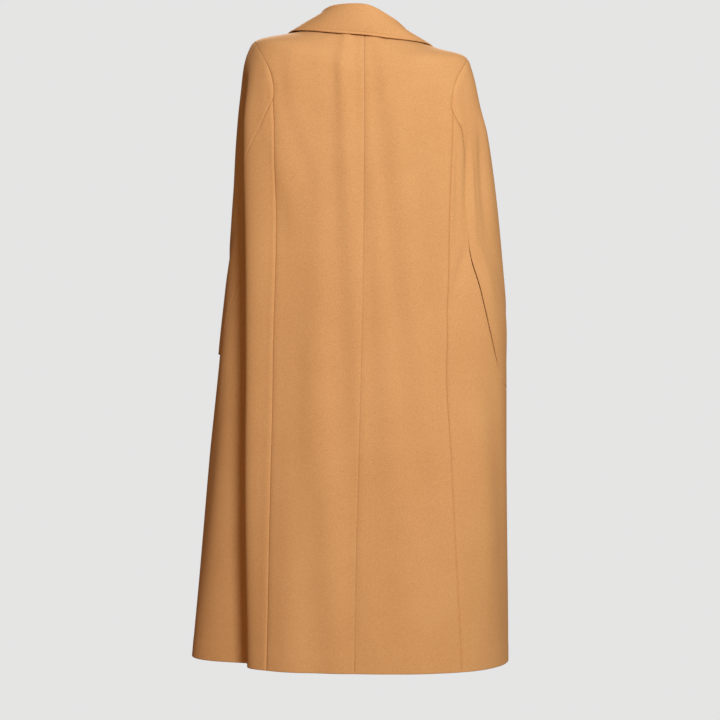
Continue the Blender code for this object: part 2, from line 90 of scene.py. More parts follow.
# Folds that hang from the shoulders. Angles and half widths in degrees, depths in metres.
# Below is the half width on the side of the smaller angle, above on the other side, and both
# go over to lowBelow and lowAbove at the hem.
Fold = namedtuple(
    "Fold", "name topAngle bottomAngle start end below above lowBelow lowAbove topDepth bottomDepth"
)
folds = (
    Fold("left crest", 76.6, 45.5, 0.12, 2.0, 4.0, 8.6, 7.4, 6.2, 0.0087, -0.0038),
    Fold("left valley", 85.5, 62.3, 0.12, 2.0, 3.3, 7.2, 6.1, 8.2, -0.022, -0.0754),
    Fold("left back seam", 60.0, 47.8, 0.25, 2.0, 7.7, 3.5, 6.8, 6.0, -0.0015, -0.0112),
    Fold("left front valley", 122, 112, 0.25, 2.0, 9, 9, 9, 9, -0.004, -0.022),
    Fold("left front crest", 146, 146, 0.30, 2.0, 11, 11, 11, 11, 0.002, 0.014),
    Fold("left back drag", 41, 41, 0.06, 0.75, 7, 7, 7, 7, -0.005, -0.003),
    Fold("right back drag", -40, -43, 0.08, 0.75, 7, 7, 7, 7, -0.004, -0.003),
    Fold("right elbow", -61, -63, 0.20, 0.47, 5, 5, 5, 5, -0.004, -0.006),
    Fold("right arm", -75, -72, 0.18, 0.44, 6, 6, 6, 6, -0.004, -0.005),
    Fold("right side valley", -100, -104, 0.45, 2.0, 10, 10, 10, 10, -0.003, -0.020),
    Fold("right front crest", -140, -146, 0.30, 2.0, 12, 12, 12, 12, 0.002, 0.014),
    Fold("right front valley", -122, -124, 0.35, 2.0, 8, 8, 8, 8, -0.002, -0.016),
)

# Smaller creases, each from one place to another. Width and depth are in millimetres, a
# negative depth is a trough, and bend moves the middle sideways, in degrees.
Crease = namedtuple("Crease", "name angleA shareA angleB shareB width depth bend")
creases = (
    Crease("drag from the left shoulder", 60, 0.10, 36, 0.30, 12, -1.4, 3),
    Crease("beside it", 66, 0.13, 46, 0.34, 9, 0.9, 2),
    Crease("left blade", 30, 0.08, 22, 0.22, 16, -1.0, -2),
    Crease("right blade", -28, 0.09, -20, 0.24, 15, -0.9, 2),
    Crease("drag from the right shoulder", -58, 0.11, -38, 0.31, 12, -1.3, -3),
    Crease("right of it", -64, 0.14, -50, 0.36, 9, 0.8, -2),
    Crease("centre back ease", 5, 0.06, 4, 0.19, 14, -0.2, 0),
    Crease("under the left arm", 57, 0.20, 50, 0.40, 10, -1.2, 2),
    Crease("right armhole's pinch", -59.5, 0.150, -63.5, 0.235, 3.5, -1.5, 0),
    Crease("right arm, inner", -65.0, 0.21, -61.5, 0.375, 5.5, -2.2, 0),
    Crease("right arm, ridge", -66.5, 0.24, -64.2, 0.390, 4.5, 1.7, 0),
    Crease("right arm, second", -73, 0.20, -71, 0.385, 6, -1.7, 0),
    Crease("right arm, outer ridge", -79, 0.17, -78, 0.40, 8, 1.1, 1),
    Crease("beside the right seam", -59.5, 0.19, -56.5, 0.37, 3.5, -0.9, 0),
    Crease("right elbow, down and in", -60.8, 0.375, -50.5, 0.51, 7, -2.4, 0.5),
    Crease("right elbow, beside it", -59, 0.41, -51, 0.56, 9, 1.0, 0.5),
    Crease("right elbow, out", -66, 0.36, -84, 0.47, 10, -1.2, -3),
    Crease("right elbow ridge", -64, 0.36, -72, 0.48, 7, 1.2, -1),
    Crease("right wrist", -84, 0.46, -96, 0.56, 9, -1.2, -2),
    Crease("left arm, upper", 86, 0.16, 96, 0.33, 10, -1.4, 3),
    Crease("left arm, middle", 96, 0.22, 104, 0.43, 9, 1.3, 2),
    Crease("left elbow", 88, 0.36, 112, 0.44, 11, -1.8, -4),
    Crease("left forearm", 100, 0.43, 116, 0.53, 9, -1.3, 2),
    Crease("right arm, front", -108, 0.18, -112, 0.40, 10, -1.3, -3),
    Crease("right elbow, front", -92, 0.37, -116, 0.45, 11, -1.7, 4),
    Crease("left skirt, drag", 40, 0.52, 30, 0.80, 18, -1.0, 2),
    Crease("right skirt, drag", -44, 0.50, -36, 0.78, 18, -1.0, -2),
    Crease("right skirt ridge", -58, 0.58, -62, 0.97, 14, 1.6, -2),
    Crease("right skirt trough", -68, 0.55, -74, 0.98, 15, -1.8, -2),
    Crease("vent's ease", 3, 0.66, 2, 0.97, 12, -0.7, 0),
    Crease("left skirt, low", 24, 0.70, 20, 0.98, 20, -1.1, 1),
    Crease("right skirt, low", -22, 0.68, -25, 0.97, 22, -1.0, -1),
    Crease("left side, low", 84, 0.60, 80, 0.98, 14, -2.0, 3),
    Crease("left side ridge", 94, 0.58, 92, 0.98, 13, 1.8, 2),
    Crease("right side ridge", -88, 0.60, -90, 0.98, 13, 1.6, -2),
    Crease("left breast", 150, 0.20, 138, 0.33, 14, -1.3, 3),
    Crease("right breast", -150, 0.21, -138, 0.34, 14, -1.3, -3),
    Crease("below the left lapel", 160, 0.30, 142, 0.42, 11, -1.2, 3),
    Crease("below the right lapel", -160, 0.31, -142, 0.43, 11, -1.2, -3),
    Crease("pull at the lowest button", 176, 0.52, 150, 0.60, 12, -1.0, 4),
    Crease("pull on the other side", -176, 0.52, -152, 0.61, 12, -1.0, -4),
    Crease("left front, low", 158, 0.62, 160, 0.97, 18, -1.6, 2),
    Crease("right front, low", -156, 0.60, -160, 0.97, 18, -1.6, -2),
)


def smoothCurve(places, values):
    # never overshoots between two of its values
    places = np.asarray(places, dtype=float)
    values = np.asarray(values, dtype=float)
    steps = np.diff(places)
    rises = np.diff(values) / steps
    slopes = np.zeros(len(places))
    slopes[0] = rises[0]
    slopes[-1] = rises[-1]
    for i in range(1, len(places) - 1):
        if rises[i - 1] * rises[i] > 0:
            near = 2 * steps[i] + steps[i - 1]
            far = steps[i] + 2 * steps[i - 1]
            slopes[i] = (near + far) / (near / rises[i - 1] + far / rises[i])

    def at(place):
        place = np.clip(place, places[0], places[-1])
        i = np.clip(np.searchsorted(places, place, side="right") - 1, 0, len(steps) - 1)
        s = (place - places[i]) / steps[i]
        start = (1 + 2 * s) * (1 - s) ** 2 * values[i] + s * (1 - s) ** 2 * steps[i] * slopes[i]
        end = s ** 2 * (3 - 2 * s) * values[i + 1] + s ** 2 * (s - 1) * steps[i] * slopes[i + 1]
        return start + end

    return at


def tableCurves(rows, key):
    places = [getattr(row, key) for row in rows]
    columns = [column for column in rows[0]._fields if column not in ("name", key)]
    return {column: smoothCurve(places, [getattr(row, column) for row in rows]) for column in columns}


sectionAt = tableCurves(sections, "share")


def ease(value, start, end):
    s = np.clip((value - start) / (end - start), 0, 1)
    return s * s * (3 - 2 * s)


foldFade = {"in": 0.12, "out": 0.18}    # shares over which a fold comes in and goes out


def foldDepth(angle, share):
    total = np.zeros(np.broadcast(angle, share).shape)
    for fold in folds:
        down = np.clip(share, 0, 1)
        centre = fold.topAngle + (fold.bottomAngle - fold.topAngle) * down
        depth = fold.topDepth + (fold.bottomDepth - fold.topDepth) * down
        away = (angle - centre + 180) % 360 - 180
        fade = ease(share, fold.start, fold.start + foldFade["in"])
        fade = fade * (1 - ease(share, fold.end - foldFade["out"], fold.end))
        below = fold.below + (fold.lowBelow - fold.below) * down
        above = fold.above + (fold.lowAbove - fold.above) * down
        halfWidth = np.where(away < 0, below, above)
        total = total + depth * fade * np.exp(-0.5 * (away / halfWidth) ** 2)
    return total


def sectionRow(share):
    return {column: curve(share) for column, curve in sectionAt.items()}


def coatPoint(angle, share, out=0.0):
    row = sectionRow(share)
    turn = np.radians(angle)
    across = np.sin(turn)
    deep = np.cos(turn)
    width = np.where(across >= 0, row["left"], row["right"])
    depth = np.where(deep >= 0, row["back"], row["front"])
    power = row["square"]
    radius = ((np.abs(across) / width) ** power + (np.abs(deep) / depth) ** power) ** (-1 / power)
    radius = radius + foldDepth(angle, share) + out
    endHeight = np.where(deep >= 0, row["backHeight"], row["frontHeight"])
    height = endHeight + (row["sideHeight"] - endHeight) * across ** 2
    x = radius * across
    y = radius * deep
    twist = np.radians(row["twist"])
    turnedX = x * np.cos(twist) + y * np.sin(twist)
    turnedY = y * np.cos(twist) - x * np.sin(twist)
    return np.stack((turnedX, turnedY, height + row["tilt"] * x - coat["hemToOrigin"]), axis=-1)


def unit(vectors):
    return vectors / np.maximum(np.linalg.norm(vectors, axis=-1, keepdims=True), 1e-12)


def outward(angle, share):
    # square to the surface, found from points a little to each side
    turn = coatPoint(angle + 0.5, share) - coatPoint(angle - 0.5, share)
    down = coatPoint(angle, share + 0.002) - coatPoint(angle, share - 0.002)
    return unit(np.cross(turn, down))


# From here on, the edges of the cut pieces, as angles and shares.
def seamAngle(side, share):
    row = sectionRow(share)
    width = row["left"] if side > 0 else row["right"]
    across = row["leftSeam"] if side > 0 else row["rightSeam"]
    power = row["square"]
    deep = row["back"] * (1 - (across / width) ** power) ** (1 / power)
    return np.degrees(np.arctan2(across, deep))


def backEdge(side, run):
    share = coat["capTop"] + (coat["underarm"] - coat["capTop"]) * (1 - np.cos(run * math.pi / 2))
    low = seamAngle(side, coat["underarm"])
    return low + (90 - low) * (1 - np.sin(run * math.pi / 2)), share


def frontSeamAngle(share):
    rise = coat["frontSeamHem"] - coat["frontSeamTop"]
    return coat["frontSeamTop"] + rise * ease(share, coat["frontScoop"], 1.0)


def frontEdge(run, lowest):
    scoop = np.clip(run * 2, 0, 1)
    below = np.clip(run * 2 - 1, 0, 1)
    share = coat["capTop"] + (coat["frontScoop"] - coat["capTop"]) * (1 - np.cos(scoop * math.pi / 2))
    share = share + (lowest - coat["frontScoop"]) * below
    angle = 90 + (coat["frontSeamTop"] - 90) * np.sin(scoop * math.pi / 2)
    return np.where(below > 0, frontSeamAngle(share), angle), share


Turn = namedtuple("Turn", "name run angle share")
leftUnderEdge = (
    Turn("below the armhole", 0.07, 62, 0.208),
    Turn("over the crest", 0.20, 71, 0.285),
    Turn("forearm", 0.38, 82, 0.430),
    Turn("back of the wrist", 0.54, 93, 0.545),
    Turn("middle of the mouth", 0.76, 111, 0.552),
    Turn("front of the mouth", 1.00, 129, 0.520),
)
rightUnderEdge = (
    Turn("below the armhole", 0.05, 62.8, 0.213),
    Turn("elbow", 0.17, 62, 0.380),
    Turn("below the elbow", 0.25, 65.0, 0.440),
    Turn("forearm", 0.34, 68.4, 0.503),
    Turn("above the wrist", 0.44, 72.5, 0.556),
    Turn("wrist", 0.50, 78, 0.588),
    Turn("back of the wrist", 0.57, 92, 0.596),
    Turn("middle of the mouth", 0.76, 110, 0.567),
    Turn("front of the mouth", 1.00, 129, 0.520),
)


def mouthFront(side):
    return (leftUnderEdge if side > 0 else rightUnderEdge)[-1].share


def underEdge(side, run):
    turns = leftUnderEdge if side > 0 else rightUnderEdge
    start = float(seamAngle(side, coat["underarm"]))
    end = float(frontSeamAngle(turns[-1].share))
    runs = [0.0] + [turn.run for turn in turns]
    angles = [start] + [turn.angle for turn in turns[:-1]] + [end]
    shares = [coat["underarm"]] + [turn.share for turn in turns]
    return smoothCurve(runs, angles)(run), smoothCurve(runs, shares)(run)


def lapAngle(share):
    return 180 + np.degrees(np.arctan2(coat["lap"], sectionAt["front"](share)))


lapEnd = float(lapAngle(coat["breakShare"]))


def neckLine(run):
    return 90 + (lapEnd - 90) * run, coat["breakShare"] * run ** coat["neckCurve"]


def neckShare(angle):
    return coat["breakShare"] * np.clip((angle - 90) / (lapEnd - 90), 0, 1) ** coat["neckCurve"]


def pair(angles, shares):
    return np.stack(np.broadcast_arrays(angles, shares), axis=-1)


def between(start, end, run):
    start = np.array(start)
    return start + (end - start) * run[..., None]


def patch(edges, u, v):
    # a place inside four edges: top and bottom run along u, first and last along v
    top, bottom, first, last = edges
    uu = u[..., None]
    vv = v[..., None]
    across = (1 - vv) * top(u) + vv * bottom(u)
    along = (1 - uu) * first(v) + uu * last(v)
    ends = np.array((0.0, 1.0))
    topEnds, bottomEnds = top(ends), bottom(ends)
    corners = (1 - uu) * ((1 - vv) * topEnds[0] + vv * bottomEnds[0])
    corners = corners + uu * ((1 - vv) * topEnds[1] + vv * bottomEnds[1])
    return across + along - corners


# Faint ripples all over: how long across and down, their lean, phase and height.
rng = np.random.default_rng(31)
ripples = [
    (rng.uniform(0.07, 0.19), rng.uniform(0.35, 1.1), rng.uniform(-0.5, 0.5), rng.uniform(0, 6.28),
     rng.uniform(0.00015, 0.00042))
    for _ in range(14)
]
# Creases are drawn on the coat unrolled flat, as if it were a cylinder.
unrolled = {
    "radius": 0.24,
    "long": 1.21,
    "gain": 1.6,
    "comesIn": (-0.15, 0.3),    # shares of a crease's own way
    "goesOut": (0.6, 1.15),
    "startWide": 0.8,
    "widens": 0.5,
}


def unroll(angle, share):
    return np.radians(angle) * unrolled["radius"], share * unrolled["long"]


def creaseDepth(angle, share):
    around, down = unroll(angle, share)
    total = np.zeros(np.shape(around))
    for crease in creases:
        ax, ay = unroll(crease.angleA, crease.shareA)
        bx, by = unroll(crease.angleB, crease.shareB)
        length = math.hypot(bx - ax, by - ay)
        ux, uy = (bx - ax) / length, (by - ay) / length
        run = ((around - ax) * ux + (down - ay) * uy) / length
        inside = np.clip(run, 0, 1)
        bow = math.radians(crease.bend) * unrolled["radius"]
        aside = (around - ax) * uy - (down - ay) * ux - bow * 4 * inside * (1 - inside)
        taper = ease(run, *unrolled["comesIn"]) * (1 - ease(run, *unrolled["goesOut"]))
        width = crease.width / 1000 * (unrolled["startWide"] + unrolled["widens"] * inside)
        depth = unrolled["gain"] * crease.depth / 1000
        total = total + depth * taper * np.exp(-0.5 * (aside / width) ** 2)
    for waveAcross, waveDown, lean, phase, height in ripples:
        total = total + height * np.sin(2 * math.pi * (around + lean * down * 0.1) / waveAcross
                                        + 2 * math.pi * down / waveDown + phase)
    return total


pucker = {"waves": (0.019, 0.027, 0.041), "drift": 0.11, "height": 0.00008, "wide": 0.009}


def puckers(along, away, seed):
    # short soft pulls across a seam, fading away from it
    form = np.zeros(np.shape(along))
    local = np.random.default_rng(seed)
    for wave in pucker["waves"]:
        form = form + np.sin(2 * math.pi * along / wave + local.uniform(0, 6.28)
                             + 1.5 * np.sin(along / pucker["drift"] + local.uniform(0, 6.28)))
    return pucker["height"] * form * np.exp(-away / pucker["wide"])


def lengths(points, axis):
    steps = np.linalg.norm(np.diff(points, axis=axis), axis=-1)
    start = np.zeros_like(np.take(steps, [0], axis=axis))
    return np.concatenate((start, np.cumsum(steps, axis=axis)), axis=axis)


# How far each of an edge's closer lines of points lies from it, and the largest share of the way
# across that they may take up.
edgeReach = 0.03
edgeSteps = np.array((0.0, 0.0003, 0.0008, 0.0016, 0.0028, 0.0045, 0.0070))


def spread(long, scaleA, scaleB, step):
    # shares along one direction, closer together near both ends; scale is share for a metre
    count = max(int(round((long - 2 * edgeSteps[-1]) / step)), 4)
    run = np.linspace(0, 1, count + 1)[1:-1]
    low = edgeSteps * np.asarray(scaleA)[..., None]
    high = 1 - edgeSteps[::-1] * np.asarray(scaleB)[..., None]
    middle = low[..., -1:] + (high[..., :1] - low[..., -1:]) * run
    return np.concatenate((low, middle, high), axis=-1)


def surfaceGrid(edges, side, outAt, step):
    # even points inside the edges, first measured on a plain grid; edges are mirrored for the
    # wearer's right, where side is -1
    u = np.linspace(0, 1, 41)       # across
    v = np.linspace(0, 1, 81)       # down
    uu, vv = np.meshgrid(u, v, indexing="ij")
    place = patch(edges, uu, vv)
    points = coatPoint(place[..., 0], place[..., 1], outAt(uu, vv))
    wide = lengths(points, 0)[-1].max()
    tall = lengths(points, 1)[:, -1].max()
    perU = np.linalg.norm(np.diff(points, axis=0), axis=-1) / (u[1] - u[0])     # metres for a share
    perV = np.linalg.norm(np.diff(points, axis=1), axis=-1).T / (v[1] - v[0])
    runV = spread(tall, 1 / np.median(perV[0]), 1 / np.median(perV[-1]), step)
    runU = spread(wide, 1 / np.median(perU[0]), 1 / np.median(perU[-1]), step)

    def scale(run, known, rates):
        return 1 / np.maximum(np.interp(run, known, rates), edgeSteps[-1] / edgeReach)

    gridU = spread(wide, scale(runV, v, perU[0]), scale(runV, v, perU[-1]), step).T
    gridV = spread(tall, scale(runU, u, perV[0]), scale(runU, u, perV[-1]), step)
    place = patch(edges, gridU, gridV)
    return gridU, gridV, side * place[..., 0], place[..., 1]


# A raised or, with a negative height, sunken line beside an edge: how far away, how wide.
Bump = namedtuple("Bump", "height away wide")
finish = {
    "seam": (
        Bump(-0.0011, 0.0, 0.0013),     # the seam's groove
        Bump(-0.0006, 0.0, 0.005),
        Bump(0.00035, 0.0095, 0.006),   # its allowance, pressed open below
    ),
    "hemStitch": Bump(-0.00015, 0.040, 0.003),
    "hemTurn": 0.0003,                  # the turned-up hem's own thickness, as it shows
    "hemWide": (0.030, 0.040),
    "freeStitch": Bump(-0.00045, 0.0055, 0.0012),
    "opensOver": 0.03,                  # share of an edge over which it goes from sewn to open
    "fadesOver": (0.05, 0.09),
}


def bump(away, form):
    return form.height * np.exp(-((away - form.away) / form.wide) ** 2)


def edgeForm(away, kind, along, seed):
    # (outer, inner) moves along the cloth's normal near an edge
    half = coat["cloth"] / 2
    if kind == "seam":
        form = sum(bump(away, line) for line in finish["seam"])
        return form + puckers(along, away, seed), 0 * away
    near = np.clip(1 - away / half, 0, 1)
    rounding = half * (1 - np.sqrt(np.clip(1 - near ** 2, 0, 1)))
    if kind == "hem":
        stitch = finish["hemStitch"]
        turnUp = finish["hemTurn"] * (1 - ease(away, *finish["hemWide"])) + bump(away, stitch)
        turnUp = turnUp + 0.5 * puckers(along, np.abs(away - stitch.away), seed)
        return turnUp - rounding, rounding
    return bump(away, finish["freeStitch"]) - rounding, rounding


def gridCross(points):
    return np.cross(points[1:, :-1] - points[:-1, :-1], points[:-1, 1:] - points[:-1, :-1])


def addObject(name, data):
    made = bpy.data.objects.new(name, data)
    bpy.context.scene.collection.objects.link(made)
    return made


edgeNames = ("first", "last", "top", "bottom")  # a piece's "edges" have this order


def layCloth(name, outer, normal, kinds, seed, opened=None, sharp=None, pressed=None):
    # a closed wall of cloth on a grid of points, with its four edges finished; pressed has how
    # deep a seam shows along an edge
    along = lengths(outer, 1)
    across = lengths(outer, 0)
    away = {
        "first": (across, along), "last": (across[-1:] - across, along),
        "top": (along, across), "bottom": (along[:, -1:] - along, across),
    }
    outMove = np.zeros(outer.shape[:2])
    inMove = np.zeros(outer.shape[:2])
    for number, (edge, kind) in enumerate(zip(edgeNames, kinds)):
        distance, run = away[edge]
        if kind == "mouth":
            # sewn at the top, open further down
            sewn, _ = edgeForm(distance, "seam", run, seed * 7 + number)
            loose, rounding = edgeForm(distance, "free", run, seed)
            outMove = outMove + sewn * sharp + loose * opened
            inMove = np.maximum(inMove, rounding * opened)
            continue
        moveOut, moveIn = edgeForm(distance, kind, run, seed * 7 + number)
        if pressed and edge in pressed:
            moveOut = moveOut * pressed[edge]
        if kind in ("hem", "free"):
            outMove = np.where(np.abs(moveOut) > np.abs(outMove), moveOut, outMove)
            inMove = np.maximum(inMove, moveIn)
        else:
            outMove = outMove + moveOut
    face = outer + normal * outMove[..., None]
    inside = outer - normal * (coat["cloth"] - inMove)[..., None]
    columns, rows = outer.shape[:2]
    count = columns * rows
    index = np.arange(count).reshape(columns, rows)
    around = (index[:-1, :-1], index[1:, :-1], index[1:, 1:], index[:-1, 1:])
    front = np.stack([corner.ravel() for corner in around], axis=1)
    back = front[:, ::-1] + count
    rim = np.concatenate((index[:, 0], index[-1, 1:], index[-2::-1, -1], index[0, -2:0:-1]))
    after = np.roll(rim, -1)
    sides = np.stack((after, rim, rim + count, after + count), axis=1)
    quads = np.concatenate((front, back, sides))
    if np.sum(gridCross(face) * normal[:-1, :-1]) < 0:
        quads = quads[:, ::-1]
    points = np.concatenate((face.reshape(-1, 3), inside.reshape(-1, 3)))
    mesh = bpy.data.meshes.new(name)
    mesh.from_pydata(points.tolist(), [], quads.tolist())
    mesh.materials.append(woolSkin)
    # the map of the cloth is in metres, so that the twill has one size everywhere
    layer = mesh.uv_layers.new(name="cloth")
    corners = np.empty(len(mesh.loops), dtype=np.int32)
    mesh.loops.foreach_get("vertex_index", corners)
    uv = np.stack((across.ravel()[corners % count], along.ravel()[corners % count]), axis=1)
    layer.data.foreach_set("uv", uv.ravel())
    mesh.shade_smooth()
    mesh.update()
    piece = addObject(name, mesh)
    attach(piece, "root")
    return piece


def sayCut(name, points):
    wide = lengths(points, 0)[-1].max()
    tall = lengths(points, 1)[:, -1].max()
    area = np.linalg.norm(gridCross(points), axis=-1).sum()
    print(f"  {name}: {wide:.3f} x {tall:.3f} m, {area:.4f} m2, grid {points.shape[:2]}")


def gridNormal(points):
    around, down = np.gradient(points, axis=(0, 1))
    return unit(np.cross(around, down))


def edgePull(points, normals, amount):
    # moves that draw each of the four edges in by the same amount
    moves = np.zeros_like(points)
    for axis in (0, 1):
        move, source, facing = (grid.swapaxes(0, axis) for grid in (moves, points, normals))
        for edge, inner in ((0, 1), (-1, -2)):
            line = source[edge]
            inside = unit(np.cross(facing[edge], np.gradient(line, axis=0)))
            sense = np.sign(np.sum(inside * (source[inner] - line)))
            move[edge] += amount * sense * inside
    return moves


def makePanel(piece, side, edges, outAt):
    step = coat["step"] * 1.0
    u, v, angle, share = surfaceGrid(edges, side, outAt, step)
    out = outAt(u, v) + creaseDepth(angle, share)
    outer = coatPoint(angle, share, out)
    normal = outward(angle, share)
    outer = outer + edgePull(outer, normal, coat["seamGap"] / 2)
    sayCut(piece["name"], coatPoint(angle, share, outAt(u, v)))
    opensAt = piece.get("opensAt", coat["mouthBack"])
    opened = ease(u, opensAt, opensAt + finish["opensOver"])
    sharp = (1 - opened) * (1 - piece.get("fades", 0.0) * ease(u, *finish["fadesOver"]))
    pressed = {edge: shown(v) for edge, shown in piece.get("pressed", {}).items()}
    made = layCloth(piece["name"], outer, normal, piece["edges"], piece["seed"], opened, sharp, pressed)
    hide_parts(piece["node"])


print("stage: wool")

wool = {
    "colour": (0.580, 0.287, 0.102, 1.0),
    "deep": (0.520, 0.243, 0.080, 1.0),
    "light": (0.630, 0.326, 0.123, 1.0),
    "shader": {
        "Roughness": 0.88, "Specular IOR Level": 0.15,
        "Sheen Weight": 0.10, "Sheen Roughness": 0.40, "Sheen Tint": (1.0, 0.70, 0.42, 1.0),
    },
    "broad": {"Scale": 7.0, "Detail": 3.0},
    "fleck": {"Scale": 620.0, "Detail": 2.0},
    "fleckShare": 0.75,         # of the colour's change, the rest is the broad one
    "nap": {"Scale": 900.0, "Detail": 4.0, "Roughness": 0.65},
    "napStretch": (1.0, 1.0, 0.22),
    "napBump": {"Strength": 0.30, "Distance": 0.0004},
    "twill": {"Distortion": 1.2, "Detail": 2.0, "Detail Scale": 2.5},
    "twillPitch": 0.0022,       # metres between the twill's ribs
    "twillTurn": 38,
    "twillBump": {"Strength": 0.10, "Distance": 0.0003},
}


def setInputs(tree, made, inputs):
    # each is a value, or another node's output to be linked
    for key, value in inputs.items():
        if isinstance(value, bpy.types.NodeSocket):
            tree.links.new(value, made.inputs[key])
        else:
            made.inputs[key].default_value = value


def node(tree, kind, place, inputs, **settings):
    made = tree.nodes.new(kind)
    made.location = place
    for key, value in settings.items():
        setattr(made, key, value)
    setInputs(tree, made, inputs)
    return made.outputs


def startMaterial(name, inputs):
    material = bpy.data.materials.new(name)
    material.use_nodes = True
    tree = material.node_tree
    shader = tree.nodes["Principled BSDF"]
    setInputs(tree, shader, inputs)
    return material, tree, shader


def colourRamp(tree, place, factor, *stops):
    made = tree.nodes.new("ShaderNodeValToRGB")
    made.location = place
    ramp = made.color_ramp.elements
    ramp[0].position, ramp[0].color = stops[0]
    ramp[1].position, ramp[1].color = stops[-1]
    for position, colour in stops[1:-1]:
        ramp.new(position).color = colour
    tree.links.new(factor, made.inputs["Fac"])
    return made.outputs["Color"]


def woolMaterial(name):
    material, tree, shader = startMaterial(name, wool["shader"])
    place = node(tree, "ShaderNodeTexCoord", (-1500, 0), {})
    spot = {"Vector": place["Object"]}
    broad = node(tree, "ShaderNodeTexNoise", (-1200, 300), {**wool["broad"], **spot})
    fleck = node(tree, "ShaderNodeTexNoise", (-1200, 50), {**wool["fleck"], **spot})
    stretch = node(tree, "ShaderNodeMapping", (-1350, -220), {"Scale": wool["napStretch"], **spot})
    nap = node(tree, "ShaderNodeTexNoise", (-1200, -220), {**wool["nap"], "Vector": stretch["Vector"]})
    rest = node(tree, "ShaderNodeMath", (-1000, 380), {0: broad["Fac"], 1: 1 - wool["fleckShare"]},
                operation="MULTIPLY")
    blend = node(tree, "ShaderNodeMath", (-1000, 200),
                 {0: fleck["Fac"], 1: wool["fleckShare"], 2: rest[0]}, operation="MULTIPLY_ADD")
    colour = colourRamp(tree, (-800, 200), blend[0],
                        (0.34, wool["deep"]), (0.5, wool["colour"]), (0.66, wool["light"]))
    weave = node(tree, "ShaderNodeMapping", (-1350, -520),
                 {"Rotation": (0, 0, math.radians(wool["twillTurn"])), "Vector": place["UV"]})
    # a wave texture of scale 1 has a band every tenth of pi
    twill = node(tree, "ShaderNodeTexWave", (-1150, -520),
                 {"Scale": math.pi / 10 / wool["twillPitch"], **wool["twill"],
                  "Vector": weave["Vector"]}, wave_type="BANDS", bands_direction="X")
    ribs = node(tree, "ShaderNodeBump", (-500, -480), {**wool["twillBump"], "Height": twill["Fac"]})
    fuzz = node(tree, "ShaderNodeBump", (-300, -300),
                {**wool["napBump"], "Height": nap["Fac"], "Normal": ribs["Normal"]})
    setInputs(tree, shader, {"Base Color": colour, "Normal": fuzz["Normal"]})
    return material


def bandedMaterial(name, look):
    # two colours in wavy bands, which also stand out a little
    material, tree, shader = startMaterial(name, look["shader"])
    place = node(tree, "ShaderNodeTexCoord", (-1100, 0), {})
    bands = node(tree, "ShaderNodeTexWave", (-850, 0), {**look["bands"], "Vector": place["Object"]},
                 wave_type="BANDS", bands_direction=look["direction"])
    colour = colourRamp(tree, (-600, 0), bands["Fac"], (0.0, look["dark"]), (1.0, look["light"]))
    relief = node(tree, "ShaderNodeBump", (-300, -200), {**look["relief"], "Height": bands["Fac"]})
    setInputs(tree, shader, {"Base Color": colour, "Normal": relief["Normal"]})
    return material


woolSkin = woolMaterial("wool")

print("stage: backs")


# A back's or front's side edge runs down the shoulder, round the armhole and down the seam.
sideRun = {"yokeEnd": 4 / 38, "holeEnd": 20 / 38}


def sideEdge(v, hole, seam, lowest):
    yokeEnd, holeEnd = sideRun["yokeEnd"], sideRun["holeEnd"]
    yoke = np.clip(v / yokeEnd, 0, 1)
    run = np.clip((v - yokeEnd) / (holeEnd - yokeEnd), 0, 1)
    below = np.clip((v - holeEnd) / (1 - holeEnd), 0, 1)
    holeAngle, holeShare = hole(run)
    low = lowest + (1 - lowest) * below
    angle = np.where(v < yokeEnd, 90.0, np.where(v < holeEnd, holeAngle, seam(low)))
    share = np.where(v < yokeEnd, coat["capTop"] * yoke, np.where(v < holeEnd, holeShare, low))
    return pair(angle, share)


def backSideLine(side):
    return lambda v: sideEdge(
        v, lambda run: backEdge(side, run), lambda share: seamAngle(side, share), coat["underarm"])


def backEdges(side):
    line = backSideLine(side)
    end = line(np.ones(1))[0]
    return (
        lambda u: between((0.0, 0.0), (90.0, 0.0), u),
        lambda u: between((0.0, 1.0), end, u),
        lambda v: pair(0.0, line(v)[..., 1]),
        line,
    )


leftBack = {
    "name": "leftBack", "node": "back_left", "seed": 3, "cut": (0.225, 1.290), "area": 0.230,
    "edges": ("seam", "seam", "seam", "hem"),
    "pressed": {
        "first": lambda v: 1 - 0.5 * ease(v, 0.40, 0.75),
        "last": lambda v: 1 - 0.75 * ease(v, 0.10, 0.15) * (1 - ease(v, 0.30, 0.40)),
    },
    "hangsFrom": ["sleeve_left", "front_left"],
}
rightBack = {
    "name": "rightBack", "node": "back_right", "seed": 4, "cut": (0.230, 1.280), "area": 0.225,
    "pressed": {"first": lambda v: 1 - 0.5 * ease(v, 0.40, 0.75)},
    "edges": ("seam", "seam", "seam", "hem"),
    "hangsFrom": ["sleeve_right", "front_right"],
}
for piece, side in ((leftBack, 1), (rightBack, -1)):
    makePanel(piece, side, backEdges(side), lambda u, v: 0 * u)

print("stage: sleeves")


mouth = {
    "fullness": 1.2,            # a smaller power opens the mouth nearer its corners
    "cornerFullness": 0.55,
    "corner": 0.6,              # how much of that the left mouth's corners have
    "sleeveFrom": 0.35,         # share down the sleeve where it starts to stand out
    "cornerFrom": 0.80,
    "skirtTo": 0.35,            # share down the skirt where it is back in place
}


def mouthShare(run, power=mouth["fullness"]):
    inside = np.clip((run - coat["mouthBack"]) / (1 - coat["mouthBack"]), 0, 1)
    return np.clip(np.sin(inside * math.pi), 0, 1) ** power


def sleeveEdges(side):
    # the cap starts a little below the shoulder's point, so that it has a width there
    start = coat["capStart"]

    def first(v):
        return pair(*backEdge(side, start + (1 - start) * v))

    def last(v):
        return pair(*frontEdge(start + (1 - start) * v, mouthFront(side)))

    a = first(np.zeros(1))[0]
    b = last(np.zeros(1))[0]
    return (
        lambda u: between(a, b, u),
        lambda u: pair(*underEdge(side, u)),
        first, last,
    )


